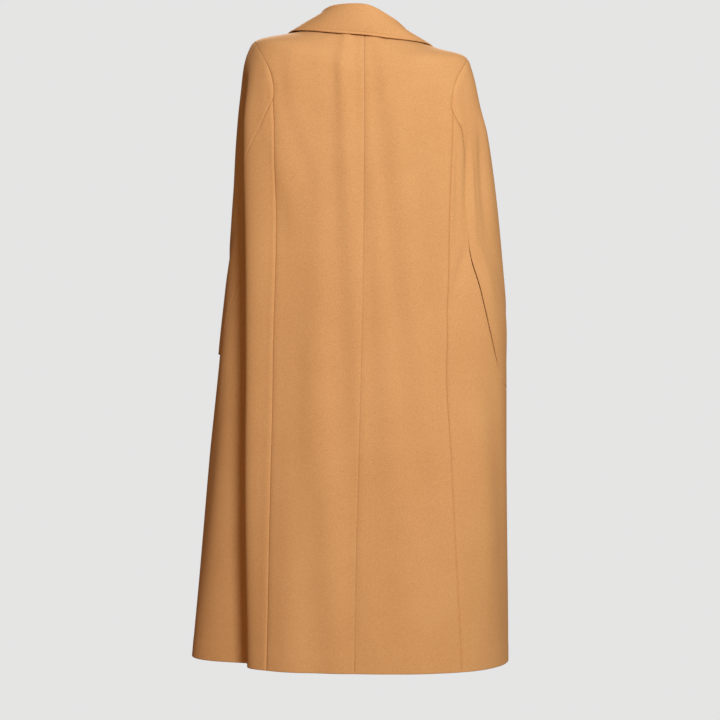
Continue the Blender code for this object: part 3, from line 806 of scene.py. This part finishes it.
def sleeveOut(u, v):
    return coat["mouthOut"] * mouthShare(u) * ease(v, mouth["sleeveFrom"], 1.0)


def leftSleeveOut(u, v):
    # the left mouth stands out at its corners
    corner = mouth["corner"] * (mouthShare(u, mouth["cornerFullness"]) - mouthShare(u))
    return sleeveOut(u, v) + coat["mouthOut"] * corner * ease(v, mouth["cornerFrom"], 1.0)


# The right sleeve's edge comes free above the wrist and lies over the skirt's. Start and end are
# shares of the way along it.
slit = {
    "start": (0.15, 0.20),
    "end": (0.40, 0.52),
    "lift": 0.0008,             # the sleeve's edge stands out by this
    "dip": 0.0015,              # the skirt's edge lies in by this
    "wide": 0.007,              # both come back over this width
    "sleeveLength": 0.47,       # metres from the slit up and down the two pieces
    "skirtLength": 0.75,
}


def slitShare(u):
    return ease(u, *slit["start"]) * (1 - ease(u, *slit["end"]))


def rightSleeveOut(u, v):
    near = np.exp(-(1 - v) * slit["sleeveLength"] / slit["wide"])
    return sleeveOut(u, v) + slit["lift"] * slitShare(u) * near


leftSleeve = {
    "name": "leftSleeve", "node": "sleeve_left", "seed": 5, "cut": (0.370, 0.620), "area": 0.145,
    "edges": ("seam", "seam", "seam", "mouth"),
    "pressed": {"first": lambda v: 0.25 + 0.75 * ease(v, 0.48, 0.70)},
    "fades": 0.6, "hangsFrom": ["back_left", "front_left"],
}
rightSleeve = {
    "name": "rightSleeve", "node": "sleeve_right", "seed": 6, "cut": (0.380, 0.620), "area": 0.165,
    "edges": ("seam", "seam", "seam", "mouth"),
    "opensAt": 0.15, "fades": 0.92, "hangsFrom": ["back_right", "front_right"],
}
makePanel(leftSleeve, 1, sleeveEdges(1), leftSleeveOut)
makePanel(rightSleeve, -1, sleeveEdges(-1), rightSleeveOut)

print("stage: sides")


def sideEdges(side):
    def first(v):
        share = coat["underarm"] + (1 - coat["underarm"]) * v
        return pair(seamAngle(side, share), share)

    def last(v):
        share = mouthFront(side) + (1 - mouthFront(side)) * v
        return pair(frontSeamAngle(share), share)

    a = first(np.ones(1))[0]
    b = last(np.ones(1))[0]
    return (
        lambda u: pair(*underEdge(side, u)),
        lambda u: between(a, b, u),
        first, last,
    )


def sideOut(u, v):
    return -coat["mouthIn"] * mouthShare(u) * (1 - ease(v, 0.0, mouth["skirtTo"]))


def rightSideOut(u, v):
    near = np.exp(-v * slit["skirtLength"] / slit["wide"])
    return sideOut(u, v) - slit["dip"] * slitShare(u) * near


leftSide = {
    "name": "leftSide", "node": "side_left", "seed": 7, "cut": (0.580, 1.070), "area": 0.325,
    "edges": ("seam", "seam", "mouth", "hem"),
    "fades": 0.6, "hangsFrom": ["back_left", "sleeve_left", "front_left"],
}
rightSide = {
    "name": "rightSide", "node": "side_right", "seed": 8, "cut": (0.450, 1.050), "area": 0.260,
    "edges": ("seam", "seam", "mouth", "hem"),
    "opensAt": 0.15, "fades": 0.92, "hangsFrom": ["back_right", "sleeve_right", "front_right"],
}
makePanel(leftSide, 1, sideEdges(1), sideOut)
makePanel(rightSide, -1, sideEdges(-1), rightSideOut)

print("stage: fronts")


def frontSideLine(side):
    lowest = mouthFront(side)
    return lambda v: sideEdge(v, lambda run: frontEdge(run, lowest), frontSeamAngle, lowest)


def frontEdges(side):
    line = frontSideLine(side)
    end = line(np.ones(1))[0]

    def free(v):
        share = coat["breakShare"] + (1 - coat["breakShare"]) * v
        return pair(lapAngle(share), share)

    corner = free(np.ones(1))[0]
    return (
        lambda u: pair(*neckLine(u)),
        lambda u: between(end, corner, u),
        line, free,
    )


def lapRaise(side, angle):
    # the wearer's right front lies over the left one
    return (0.0 if side > 0 else coat["lapRaise"]) * ease(np.abs(angle), *coat["lapFrom"])


leftFront = {
    "name": "leftFront", "node": "front_left", "seed": 9, "cut": (0.290, 1.280), "area": 0.260,
    "edges": ("seam", "free", "seam", "hem"),
    "hangsFrom": ["back_left"],
}
rightFront = {
    "name": "rightFront", "node": "front_right", "seed": 10, "cut": (0.290, 1.280), "area": 0.255,
    "edges": ("seam", "free", "seam", "hem"),
    "hangsFrom": ["back_right"],
}
for piece, side in ((leftFront, 1), (rightFront, -1)):
    edges = frontEdges(side)
    makePanel(piece, side, edges, lambda u, v: lapRaise(side, patch(edges, u, v)[..., 0]))

print("stage: collar")

collar = {
    "name": "turnedCollar", "node": "collar", "seed": 11, "cut": (0.540, 0.115), "area": 0.042,
    "edges": ("free", "free", "free", "free"),
    "hangsFrom": ["back_left", "back_right", "front_left", "front_right"],
    "roll": 0.010,              # the leaf falls this far outside the stand
    "fullness": 0.003,          # the leaf's bow outwards
    "aboveSeam": 0.0006,
    "leans": (60, 125),         # angles over which the stand goes over to lying on the fronts
    "edgeGroove": Bump(-0.0008, 0.0045, 0.0011),    # inside the rolled lip of the edge
    "edgeRoll": Bump(0.0004, 0.0018, 0.0016),
    "swell": 0.0008,            # long waves in the leaf
    "swellWave": 0.21,
    "swellFrom": (0.06, 0.14),  # how far down from the stand's foot they come in
    "around": 190,              # points from end to end
    "standRuns": (0.0, 0.03, 0.08, 0.2, 0.35, 0.5, 0.65, 0.8, 0.92),
    "rollSteps": 14,
    "leafSteps": 34,
    # distances from the leaf's edge
    "edgeMarks": (0.0062, 0.0045, 0.0030, 0.0018, 0.0010, 0.0005, 0.0002, 0.0),
}
# Up and inward lead to the stand's top. Edge, edgeAngle and lift place the leaf's edge.
Band = namedtuple("Band", "name angle up inward edge edgeAngle lift")
bands = (
    Band("right end", -131, 0.005, 0.000, 0.080, -121, 0.0036),
    Band("right front", -112, 0.006, 0.003, 0.052, -104, 0.0038),
    Band("right shoulder", -90, 0.006, 0.003, 0.034, -88, 0.0036),
    Band("right back", -45, 0.025, 0.003, 0.026, -44, 0.0037),
    Band("centre back", 0, 0.040, 0.000, 0.021, 0, 0.0039),
    Band("left back", 45, 0.037, 0.004, 0.028, 45, 0.0039),
    Band("left shoulder", 90, 0.023, 0.008, 0.042, 90, 0.0041),
    Band("left front", 112, 0.013, 0.004, 0.060, 105, 0.0050),
    Band("left end", 131, 0.005, 0.000, 0.085, 122, 0.0050),
)
bandAt = tableCurves(bands, "angle")


def collarRow(angle):
    share = float(neckShare(abs(angle)))
    seam = coatPoint(angle, share)
    face = outward(angle, share)
    level = unit(face * (1, 1, 0))
    lean = ease(abs(angle), *collar["leans"])
    up = unit((1 - lean) * np.array((0, 0, 1)) + lean * face)
    base = seam + collar["aboveSeam"] * up - coat["cloth"] * (1 - lean) * level
    top = base + bandAt["up"](angle) * up - bandAt["inward"](angle) * level
    edgeAngle = bandAt["edgeAngle"](angle)
    edgeShare = bandAt["edge"](angle)
    edge = coatPoint(edgeAngle, edgeShare) + bandAt["lift"](angle) * outward(edgeAngle, edgeShare)
    over = edge - top
    over = unit(over - up * np.dot(over, up))
    points = [base + (top - base) * run for run in collar["standRuns"]]
    for step in range(collar["rollSteps"] + 1):
        roll = math.pi * step / collar["rollSteps"]
        points.append(top + collar["roll"] / 2 * ((1 - math.cos(roll)) * over + math.sin(roll) * up))
    start = points.pop()
    marks = np.linspace(0, 1, collar["leafSteps"] + 1) ** 0.9
    close = 1 - np.array(collar["edgeMarks"]) / np.linalg.norm(edge - start)
    marks = np.concatenate((marks[marks < close[0] - 0.02], close))[:, None]
    leaf = start + (edge - start) * marks + collar["fullness"] * np.sin(math.pi * marks) * face
    # the leaf's points are spaced again, evenly along it and closer together at its edge
    run = lengths(leaf[None], 1)[0]
    tail = run[-1] - np.array(collar["edgeMarks"])
    marks = np.concatenate((np.linspace(0, tail[0], collar["leafSteps"])[:-1], tail))
    leaf = np.stack([np.interp(marks, run, leaf[:, k]) for k in range(3)], axis=-1)
    return np.concatenate((points, leaf))


def collarAngles():
    # closer together at the collar's two ends
    end = bands[-1].angle
    near = np.array((0.0, 0.05, 0.12, 0.22, 0.4))
    inner = np.linspace(1.0 - end, end - 1.0, collar["around"])
    return np.concatenate((-end + near, inner, end - near[::-1]))


outer = np.array([collarRow(angle) for angle in collarAngles()])
normal = gridNormal(outer)
fall = lengths(outer, 1)
fromEdge = fall[:, -1:] - fall
lip = bump(fromEdge, collar["edgeGroove"]) + bump(fromEdge, collar["edgeRoll"])
waveRun = lengths(outer, 0)[:, -1:]
swell = collar["swell"] * np.sin(2 * math.pi * waveRun / collar["swellWave"] + 0.6)
swell = swell * ease(fall, *collar["swellFrom"])
outer = outer + normal * (lip + swell)[..., None]
sayCut(collar["name"], outer)
made = layCloth(collar["name"], outer, normal, collar["edges"], collar["seed"])
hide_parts(collar["node"])

print("stage: lapels")

Lapel = namedtuple("Lapel", "name down across drop")
lapelShape = (
    Lapel("gorge", 0.00, 7.5, 0.100),
    Lapel("tip", 0.12, 16, 0.095),
    Lapel("chest", 0.55, 22, 0.034),
    Lapel("waist", 0.80, 13, 0.014),
    Lapel("break", 1.00, 2, 0.002),
)
lapelAt = tableCurves(lapelShape, "down")
leftLapel = {
    "name": "leftLapel", "node": "lapel_left", "seed": 12, "cut": (0.095, 0.210), "area": 0.010,
    "last": 10, "hangsFrom": ["front_left"],
}
rightLapel = {
    "name": "rightLapel", "node": "lapel_right", "seed": 13, "cut": (0.100, 0.330), "area": 0.017,
    "last": 12, "hangsFrom": ["front_right"],
}
# Gorge and last are counted in columns of the neck line's way.
lapels = {
    "gorge": 5, "columns": 12, "step": 0.0035,
    "lift": 0.0024, "foldGap": 0.0006, "lifts": (-0.08, 0.4),
}


def lapelEdges(piece):
    start = lapels["gorge"] / lapels["columns"]
    end = piece["last"] / lapels["columns"]

    def fold(u):
        return pair(*neckLine(start + (end - start) * u))

    def reach(u):
        return pair(-lapelAt["across"](u), lapelAt["drop"](u))

    return (
        fold,
        lambda u: fold(u) + reach(u),
        lambda v: fold(0 * v) + reach(0.0) * v[..., None],
        lambda v: fold(0 * v + 1) + reach(1.0) * v[..., None],
    )


for piece, side in ((leftLapel, 1), (rightLapel, -1)):
    u, v, angle, share = surfaceGrid(lapelEdges(piece), side, lambda u, v: 0 * u, lapels["step"])
    gap = lapels["foldGap"] + (lapels["lift"] - lapels["foldGap"]) * ease(v, *lapels["lifts"])
    inner = coatPoint(angle, share, lapRaise(side, angle) + creaseDepth(angle, share))
    normal = outward(angle, share)
    outer = inner + (gap + coat["cloth"])[..., None] * normal
    sayCut(piece["name"], outer)
    made = layCloth(piece["name"], outer, normal, collar["edges"], piece["seed"])
    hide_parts(piece["node"])

print("stage: buttons")

horn = {
    "dark": (0.050, 0.022, 0.010, 1.0),
    "light": (0.200, 0.105, 0.045, 1.0),
    "shader": {"Roughness": 0.28, "Coat Weight": 0.25, "Coat Roughness": 0.15},
    "bands": {"Scale": 60.0, "Distortion": 9.0, "Detail": 3.0},
    "direction": "X",
    "relief": {"Strength": 0.08, "Distance": 0.0002},
}
thread = {
    "dark": (0.190, 0.085, 0.030, 1.0),
    "light": (0.300, 0.140, 0.050, 1.0),
    "shader": {"Roughness": 0.62},
    "bands": {"Scale": 900.0, "Distortion": 0.6},
    "direction": "DIAGONAL",
    "relief": {"Strength": 0.4, "Distance": 0.0001},
    "radius": 0.00042,
    "long": 0.0042,
    "apart": 0.0030,
    "rise": 0.00055,            # the middle of a stitch above its ends
    "sunk": 0.0004,
}
hornSkin = bandedMaterial("horn", horn)
threadSkin = bandedMaterial("thread", thread)


def stitchRing(centre, across, up, out, points, faces):
    # one stitch over a button, sunk at both ends
    steps, sides = 12, 8
    start = len(points)
    for i in range(steps + 1):
        run = i / steps
        middle = centre + up * thread["long"] * (run - 0.5)
        middle = middle + out * (thread["rise"] * math.sin(math.pi * run) - thread["sunk"])
        for k in range(sides):
            turn = 2 * math.pi * k / sides
            points.append(middle + thread["radius"] * (math.cos(turn) * across + math.sin(turn) * out))
    for i in range(steps):
        for k in range(sides):
            a = start + i * sides + k
            b = start + i * sides + (k + 1) % sides
            faces.append((a, b, b + sides, a + sides))
    faces.append(tuple(start + k for k in reversed(range(sides))))
    faces.append(tuple(start + steps * sides + k for k in range(sides)))


for number in (1, 2, 3):
    # a button keeps its own solid, and its face is found from the solid's points
    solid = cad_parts[f"button_{number}"]
    solid.data.materials.clear()
    solid.data.materials.append(hornSkin)
    spots = np.array([solid.matrix_world @ vertex.co for vertex in solid.data.vertices])
    centre = (spots.min(axis=0) + spots.max(axis=0)) / 2
    out = np.linalg.svd(spots - spots.mean(axis=0))[2][2]
    out = out * (1 if out[1] < 0 else -1)
    face = centre + out * np.max((spots - centre) @ out)
    across = unit(np.cross((0.0, 0.0, 1.0), out))
    up = np.cross(out, across)
    points = []
    faces = []
    for sideways in (-0.5, 0.5):
        stitchRing(face + across * sideways * thread["apart"], across, up, out, points, faces)
    mesh = bpy.data.meshes.new(f"thread{number}")
    mesh.from_pydata(np.array(points).tolist(), [], faces)
    mesh.materials.append(threadSkin)
    mesh.shade_smooth()
    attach(addObject(f"thread{number}", mesh), "root")

print("stage: studio")

studio = {
    "floor": -6.5,              # far below, so that the hem can be seen from beneath
    "wall": -9.0,               # the backdrop's place behind the coat
    "bend": 1.6,                # radius between the two
    "reach": 12.0,
    "high": 7.0,
    "aim": (0, 0, -0.45),       # what the lamps point at
    "paper": {
        "Base Color": (0.05, 0.05, 0.05, 1.0), "Roughness": 1.0,
        "Emission Color": (1.0, 1.0, 1.0, 1.0), "Emission Strength": 0.765,
    },
    "world": {"Color": (1.0, 0.74, 0.50, 1.0), "Strength": 0.17},
}
Lamp = namedtuple("Lamp", "name place size watts colour")
lamps = (
    Lamp("key", (-1.10, 3.8, 1.65), 1.2, 200, (0.96, 1.02, 1.15)),
    Lamp("side", (-4.2, 1.4, -0.2), 1.8, 26, (1.0, 0.92, 0.76)),
    Lamp("fill", (2.3, 3.4, -1.3), 2.0, 19, (1.0, 0.45, 0.14)),
    Lamp("top", (-0.2, 1.2, 3.0), 2.0, 12, (0.90, 1.0, 1.30)),
    Lamp("front", (0.3, -3.4, 1.7), 1.4, 130, (1.0, 0.99, 0.97)),
)
camera = {"place": (0.0075, 4.84, -0.385), "pitch": 2.406, "lens": 125, "sensor": 36, "sees": 60}


def makePaper():
    profile = [(studio["reach"], studio["floor"])]
    radius = studio["bend"]
    for step in range(25):
        turn = math.pi / 2 * step / 24
        profile.append((studio["wall"] + radius - radius * math.sin(turn),
                        studio["floor"] + radius - radius * math.cos(turn)))
    profile.append((studio["wall"], studio["high"]))
    count = len(profile)
    points = [(x, y, z) for x in (-studio["reach"], studio["reach"]) for y, z in profile]
    faces = [(i, i + 1, count + i + 1, count + i) for i in range(count - 1)]
    mesh = bpy.data.meshes.new("paper")
    mesh.from_pydata(points, [], faces)
    mesh.shade_smooth()
    mesh.materials.append(startMaterial("paper", studio["paper"])[0])
    backdrop = addObject("paper", mesh)
    # lit for the camera alone, so that it doesn't lighten the cloth's shaded side
    backdrop.visible_diffuse = False
    backdrop.visible_glossy = False


makePaper()
world = bpy.data.worlds.new("studio")
bpy.context.scene.world = world
world.use_nodes = True
setInputs(world.node_tree, world.node_tree.nodes["Background"], studio["world"])
for lamp in lamps:
    light = bpy.data.lights.new(lamp.name, "AREA")
    light.shape = "DISK"
    light.size = lamp.size
    light.energy = lamp.watts
    light.color = lamp.colour
    made = addObject(lamp.name, light)
    made.location = lamp.place
    made.rotation_mode = "QUATERNION"
    made.visible_camera = False
    made.rotation_quaternion = (Vector(studio["aim"]) - Vector(lamp.place)).to_track_quat("-Z", "Y")
lens = bpy.data.cameras.new("camera")
lens.lens = camera["lens"]
lens.sensor_width = camera["sensor"]
lens.clip_end = camera["sees"]
eye = addObject("camera", lens)
eye.location = camera["place"]
eye.rotation_euler = (math.radians(90 - camera["pitch"]), 0, math.pi)
bpy.context.scene.camera = eye

bpy.context.scene.view_settings.view_transform = "Standard"
bpy.context.scene.view_settings.look = "None"

print("stage: done")
